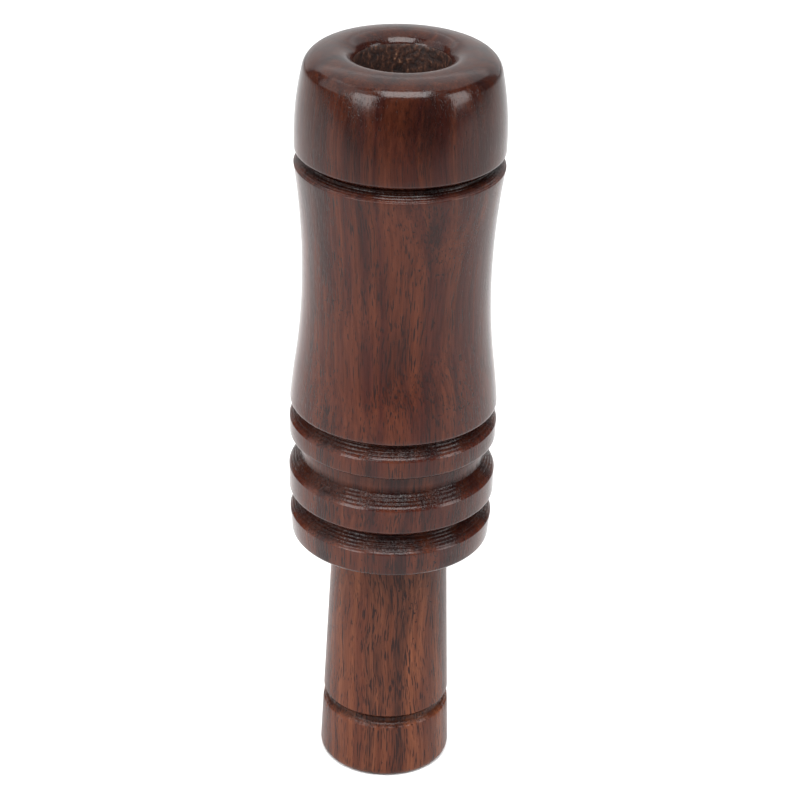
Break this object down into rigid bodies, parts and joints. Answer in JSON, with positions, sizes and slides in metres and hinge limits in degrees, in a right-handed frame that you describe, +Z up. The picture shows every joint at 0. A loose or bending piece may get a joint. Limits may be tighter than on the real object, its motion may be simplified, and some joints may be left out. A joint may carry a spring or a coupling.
{
  "type": "duck call",
  "caption": "Turned wooden duck call: a waisted barrel with a rounded mouth end and grooved rings slips over an insert that carries a reed board.",
  "frame": {"origin": "centre of the insert's exhaust end, at the bottom of the whole call", "axes": "+Z up the common axis from the exhaust end of the insert to the mouth end of the barrel; the reeds face -Y"},
  "size_m": [0.0358, 0.0358, 0.135],
  "materials": {
    "barrel_wood": "dark red-brown walnut under a satin-gloss lacquer",
    "insert_wood": "slightly lighter red-brown walnut, satin lacquer",
    "board_plastic": "moulded black plastic",
    "reed_film": "frosted polyester film",
    "cork": "cut cork",
    "seal_rubber": "moulded nitrile rubber"
  },
  "bodies": {
    "insert": {"insert": "insert_wood", "tone_board": "board_plastic", "long_reed_root": "reed_film", "short_reed_root": "reed_film", "wedge": "cork"},
    "seals": {"o_ring_lower": "seal_rubber", "o_ring_upper": "seal_rubber"},
    "barrel": {"barrel": "barrel_wood"},
    "long_reed": {"long_reed_tongue": "reed_film"},
    "short_reed": {"short_reed_tongue": "reed_film"}
  },
  "joints": [
    {"name": "barrel_twist", "type": "hinge", "parent": "insert", "child": "seals", "pos_m": [0, 0, 0.055], "axis": [0, 0, 1], "continuous": true},
    {"name": "barrel_pull", "type": "slide", "parent": "seals", "child": "barrel", "axis": [0, 0, 1], "range_m": [0, 0.075]},
    {"name": "long_reed_swing", "type": "hinge", "parent": "insert", "child": "long_reed", "pos_m": [0, 0.00058, 0.0785], "axis": [-1, 0, 0], "range_deg": [-1, 1], "stiffness_Nm_per_rad": 0.01},
    {"name": "short_reed_swing", "type": "hinge", "parent": "insert", "child": "short_reed", "pos_m": [0, 0.00031, 0.0785], "axis": [-1, 0, 0], "range_deg": [-1, 1], "stiffness_Nm_per_rad": 0.01}
  ],
  "couplings": [
    {"joint": "short_reed_swing", "follows": "long_reed_swing", "ratio": 1}
  ]
}
